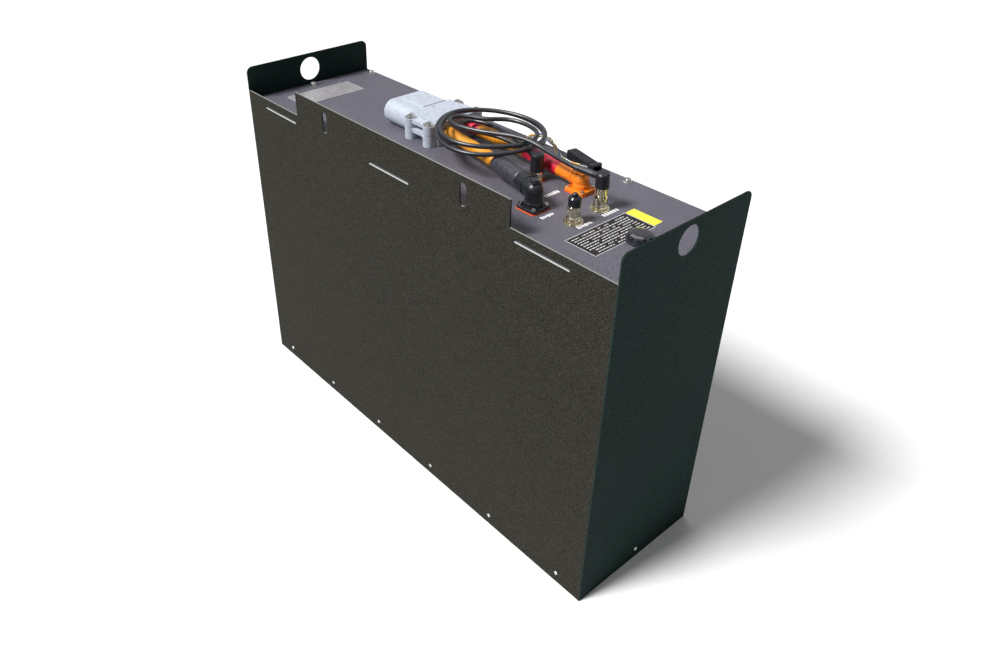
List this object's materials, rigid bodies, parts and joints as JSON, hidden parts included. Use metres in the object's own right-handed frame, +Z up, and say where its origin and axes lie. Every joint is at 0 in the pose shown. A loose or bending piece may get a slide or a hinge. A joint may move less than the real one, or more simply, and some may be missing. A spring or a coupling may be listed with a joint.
{
  "type": "forklift traction battery",
  "caption": "Narrow steel-cased traction battery for a reach truck, with lifting ears, a recessed lid, a power connector on orange leads and a coiled signal cord",
  "frame": {"origin": "middle of the case's base, where it stands in the truck's battery bay", "axes": "+X runs along the case towards the round sockets, +Y from the slotted front wall to the back wall, +Z up"},
  "size_m": [1.1732, 0.3582, 0.8283],
  "materials": {
    "case_coat": "fine textured black powder coat",
    "lid_coat": "fine textured blue-grey powder coat",
    "zinc_steel": "zinc plated",
    "plate_metal": "satin",
    "shell_grey": "fine moulded grain",
    "plastic_black": "semi gloss",
    "plastic_orange": "moulded",
    "conduit_orange": "corrugated",
    "sleeve_red": "heat shrunk",
    "shrink_black": "heat shrunk",
    "cord_black": "matt jacket",
    "nickel": "nickel plated",
    "gasket_rubber": "moulded",
    "grommet_rubber": "moulded",
    "copper": "bare",
    "silver_copper": "silver plated",
    "cell_blue": "film wrapped",
    "ballast_steel": "bare",
    "foam_black": "foam",
    "harness_wires": "bundle of thin wires"
  },
  "bodies": {
    "case": {"back_wall": "case_coat", "ballast_plates": "ballast_steel", "base_pad": "foam_black", "bottom_pan": "case_coat", "bottom_screws": "zinc_steel", "cell_links": "copper", "cells_lower": "cell_blue", "cells_upper": "cell_blue", "clamp_bolts": "zinc_steel", "connector_clamp_lower": "shell_grey", "connector_clamp_upper": "shell_grey", "connector_nose": "shell_grey", "cord_coil": "cord_black", "cord_to_a": "cord_black", "cord_to_c": "cord_black", "electronics_panel": "zinc_steel", "flange_gaskets": "gasket_rubber", "flange_screws": "zinc_steel", "front_wall": "case_coat", "harness_bundle": "harness_wires", "harness_grommet": "grommet_rubber", "inner_bars": "copper", "left_end_wall": "case_coat", "lid": "lid_coat", "lid_bolts": "zinc_steel", "lid_rails": "case_coat", "lid_washers": "zinc_steel", "main_contactor": "plastic_black", "main_fuse": "shell_grey", "management_unit": "plastic_black", "name_plate": "plate_metal", "negative_conduit": "conduit_orange", "negative_flange": "plastic_black", "negative_plug": "plastic_black", "negative_shrink": "shrink_black", "plug_a": "plastic_black", "plug_c": "plastic_black", "plug_c_neck": "nickel", "positive_conduit": "conduit_orange", "positive_flange": "plastic_orange", "positive_front_sleeve": "sleeve_red", "positive_plug": "plastic_orange", "positive_rear_sleeve": "sleeve_red", "power_contacts": "silver_copper", "relief_c": "cord_black", "right_end_wall": "case_coat", "signal_housing": "plastic_black", "socket_a": "nickel", "socket_b": "nickel", "socket_c": "nickel", "socket_nuts": "nickel", "stack_end_plates": "plate_metal", "stack_shelves": "plate_metal", "vent_base": "plastic_black", "vent_cap": "plastic_black"},
    "coupling_a": {"ring_a": "nickel"},
    "coupling_c": {"ring_c": "nickel"},
    "cap": {"cap_b": "plastic_black"},
    "negative_release": {"negative_button": "plastic_black"},
    "positive_release": {"positive_button": "plastic_orange"}
  },
  "joints": [
    {"name": "coupling_a_turn", "type": "hinge", "parent": "case", "child": "coupling_a", "pos_m": [0.199, 0.03, 0.76], "axis": [0, 0, 1], "range_deg": [0, 110]},
    {"name": "coupling_c_turn", "type": "hinge", "parent": "case", "child": "coupling_c", "pos_m": [0.364, 0.032, 0.765], "axis": [0, 0, 1], "range_deg": [0, 110]},
    {"name": "cap_turn", "type": "hinge", "parent": "case", "child": "cap", "pos_m": [0.367, -0.045, 0.78], "axis": [0, 0, 1], "range_deg": [0, 110]},
    {"name": "negative_release_press", "type": "slide", "parent": "case", "child": "negative_release", "axis": [0, 0, -1], "range_m": [0, 0.0025], "stiffness_N_per_m": 700, "springref_m": -0.001},
    {"name": "positive_release_press", "type": "slide", "parent": "case", "child": "positive_release", "axis": [0, 0, -1], "range_m": [0, 0.0025], "stiffness_N_per_m": 700, "springref_m": -0.001}
  ]
}
